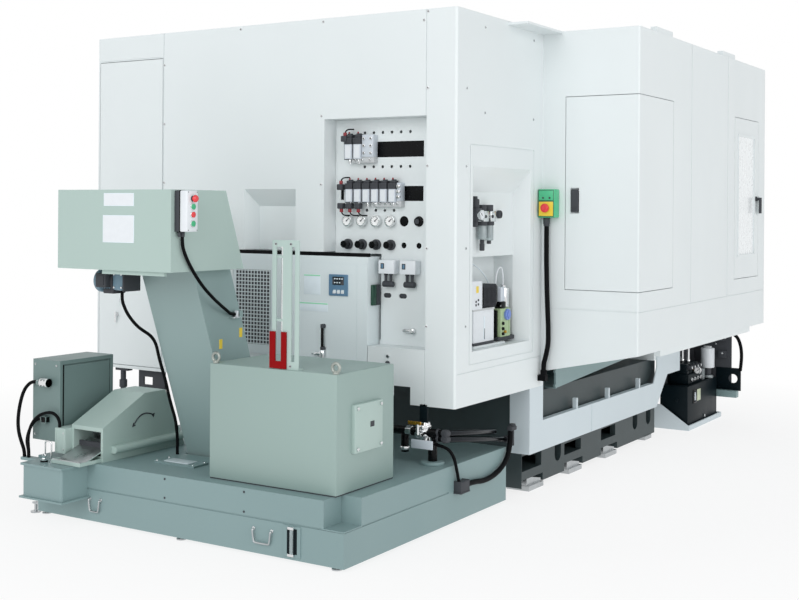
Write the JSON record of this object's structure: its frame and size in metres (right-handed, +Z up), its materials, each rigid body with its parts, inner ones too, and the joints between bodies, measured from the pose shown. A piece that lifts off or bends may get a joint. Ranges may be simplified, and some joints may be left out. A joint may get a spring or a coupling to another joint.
{
  "type": "cnc machining center",
  "caption": "Horizontal machining centre with sheet enclosure, side tool magazine, travelling column, turning pallet, chip conveyor, coolant tank, chiller and open service bays.",
  "frame": {"origin": "centre of the rectangle of foundation bolts, on the floor", "axes": "+Z up, +Y from the rear face with the conveyor towards the operator's front, +X towards the tool magazine"},
  "size_m": [3.395, 5.894, 2.874],
  "materials": {
    "enclosure_white": "satin paint",
    "grey_green": "satin paint",
    "tank_grey": "satin paint",
    "bed_grey": "painted casting",
    "trim_white": "satin paint",
    "dark_metal": "dark paint",
    "steel": "bare steel",
    "nickel": "plated",
    "black_plastic": "black",
    "grey_plastic": "grey",
    "red_plastic": "glossy",
    "green_plastic": "glossy",
    "pendant_white": "glossy",
    "rubber_black": "black",
    "pane": "milky pane",
    "iron": "machined casting"
  },
  "bodies": {
    "machine": {"bed_casting": "bed_grey", "levelling_blocks": "steel", "side_trim": "trim_white", "chip_chute": "tank_grey", "main_enclosure": "enclosure_white", "magazine_enclosure": "enclosure_white", "panel_screws": "nickel", "operator_console": "grey_plastic", "pneumatic_plate": "enclosure_white", "valve_banks": "black_plastic", "regulator_gauges": "grey_plastic", "chiller_cabinet": "enclosure_white", "air_service_unit": "grey_plastic", "lubricator": "pendant_white", "estop_box": "green_plastic", "estop_conduit": "rubber_black", "coolant_tank": "tank_grey", "tank_feet": "steel", "pump_tower": "grey_green", "level_post": "enclosure_white", "coolant_valves": "dark_metal", "coolant_hose": "rubber_black", "conveyor_casing": "grey_green", "conveyor_head": "grey_green", "conveyor_belt": "steel", "gear_motor": "dark_metal", "pendant_box": "pendant_white", "pendant_cable": "rubber_black", "motor_cable": "rubber_black", "separator_cover": "grey_green", "separator_box": "tank_grey", "junction_box": "grey_green", "conduit_upper": "rubber_black", "conduit_lower": "rubber_black", "hydraulic_unit": "dark_metal", "magazine_stand": "iron"},
    "chiller_fan": {"chiller_fan": "black_plastic"},
    "estop_button": {"estop_button": "red_plastic"},
    "maintenance_door": {"maintenance_door": "enclosure_white"},
    "maintenance_latch": {"maintenance_latch": "black_plastic"},
    "magazine_door": {"magazine_door": "enclosure_white", "door_window": "pane"},
    "magazine_door_lever": {"magazine_door_lever": "black_plastic"},
    "cabinet_door": {"cabinet_door": "enclosure_white"},
    "cabinet_latch": {"cabinet_latch": "nickel"},
    "level_rod": {"level_rod": "nickel"},
    "drive_sprockets": {"drive_sprockets": "steel"},
    "pendant_mushroom": {"pendant_mushroom": "red_plastic"},
    "pendant_button_1": {"pendant_button_1": "green_plastic"},
    "pendant_button_2": {"pendant_button_2": "red_plastic"},
    "pendant_button_3": {"pendant_button_3": "green_plastic"},
    "separator_drum": {"separator_drum": "steel"},
    "column": {"column": "iron"},
    "spindle_head": {"spindle_head": "iron"},
    "spindle": {"spindle": "steel"},
    "table_saddle": {"table_saddle": "iron"},
    "pallet": {"pallet": "iron"},
    "magazine_wheel": {"magazine_wheel": "steel"},
    "changer_arm": {"changer_arm": "steel"},
    "operator_door": {"operator_door": "enclosure_white"}
  },
  "joints": [
    {"name": "chiller_fan_spin", "type": "hinge", "parent": "machine", "child": "chiller_fan", "pos_m": [-0.204, -1.27, 1.15], "axis": [0, 1, 0], "continuous": true},
    {"name": "estop_press", "type": "slide", "parent": "machine", "child": "estop_button", "axis": [0, 1, 0], "range_m": [0, 0.006], "stiffness_N_per_m": 500},
    {"name": "maintenance_door_swing", "type": "hinge", "parent": "machine", "child": "maintenance_door", "pos_m": [1.76, -0.038, 1.844], "axis": [0, 0, 1], "range_deg": [0, 100]},
    {"name": "maintenance_latch_lift", "type": "hinge", "parent": "maintenance_door", "child": "maintenance_latch", "pos_m": [1.344, -0.634, 1.86], "axis": [-1, 0, 0], "range_deg": [0, 30]},
    {"name": "magazine_door_swing", "type": "hinge", "parent": "machine", "child": "magazine_door", "pos_m": [1.76, 1.269, 1.835], "axis": [0, 0, -1], "range_deg": [0, 110]},
    {"name": "magazine_lever_turn", "type": "hinge", "parent": "magazine_door", "child": "magazine_door_lever", "pos_m": [1.766, 1.81, 1.835], "axis": [1, 0, 0], "range_deg": [0, 90]},
    {"name": "cabinet_door_swing", "type": "hinge", "parent": "machine", "child": "cabinet_door", "pos_m": [-1.023, -1.731, 1.7], "axis": [0, 0, 1], "range_deg": [0, 75]},
    {"name": "cabinet_latch_turn", "type": "hinge", "parent": "cabinet_door", "child": "cabinet_latch", "pos_m": [-1.409, -1.73, 1.04], "axis": [0, 1, 0], "range_deg": [0, 90]},
    {"name": "level_rod_lift", "type": "slide", "parent": "machine", "child": "level_rod", "axis": [0, 0, 1], "range_m": [0, 0.15]},
    {"name": "sprocket_spin", "type": "hinge", "parent": "machine", "child": "drive_sprockets", "pos_m": [-0.162, -2.54024, 1.6], "axis": [1, 0, 0], "continuous": true},
    {"name": "pendant_mushroom_press", "type": "slide", "parent": "machine", "child": "pendant_mushroom", "axis": [-1, 0, 0], "range_m": [0, 0.006], "stiffness_N_per_m": 500},
    {"name": "pendant_button_1_press", "type": "slide", "parent": "machine", "child": "pendant_button_1", "axis": [-1, 0, 0], "range_m": [0, 0.004], "stiffness_N_per_m": 400},
    {"name": "pendant_button_2_press", "type": "slide", "parent": "machine", "child": "pendant_button_2", "axis": [-1, 0, 0], "range_m": [0, 0.004], "stiffness_N_per_m": 400},
    {"name": "pendant_button_3_press", "type": "slide", "parent": "machine", "child": "pendant_button_3", "axis": [-1, 0, 0], "range_m": [0, 0.004], "stiffness_N_per_m": 400},
    {"name": "separator_drum_spin", "type": "hinge", "parent": "machine", "child": "separator_drum", "pos_m": [-0.672, -2.47, 0.48], "axis": [1, 0, 0], "continuous": true},
    {"name": "column_travel", "type": "slide", "parent": "machine", "child": "column", "axis": [1, 0, 0], "range_m": [-0.35, 0.35]},
    {"name": "head_travel", "type": "slide", "parent": "column", "child": "spindle_head", "axis": [0, 0, 1], "range_m": [-0.3, 0.3]},
    {"name": "spindle_spin", "type": "hinge", "parent": "spindle_head", "child": "spindle", "pos_m": [-0.234, 0.17, 1.5], "axis": [0, 1, 0], "continuous": true},
    {"name": "saddle_travel", "type": "slide", "parent": "machine", "child": "table_saddle", "axis": [0, 1, 0], "range_m": [-0.25, 0.25]},
    {"name": "pallet_turn", "type": "hinge", "parent": "table_saddle", "child": "pallet", "pos_m": [-0.234, 1.02, 0.9], "axis": [0, 0, 1], "continuous": true},
    {"name": "magazine_spin", "type": "hinge", "parent": "machine", "child": "magazine_wheel", "pos_m": [1.326, 0.72, 1.79], "axis": [1, 0, 0], "continuous": true},
    {"name": "changer_arm_turn", "type": "hinge", "parent": "machine", "child": "changer_arm", "pos_m": [0.526, 0.37, 1.79], "axis": [0, 1, 0], "continuous": true},
    {"name": "operator_door_slide", "type": "slide", "parent": "machine", "child": "operator_door", "axis": [1, 0, 0], "range_m": [0, 0.8]}
  ]
}
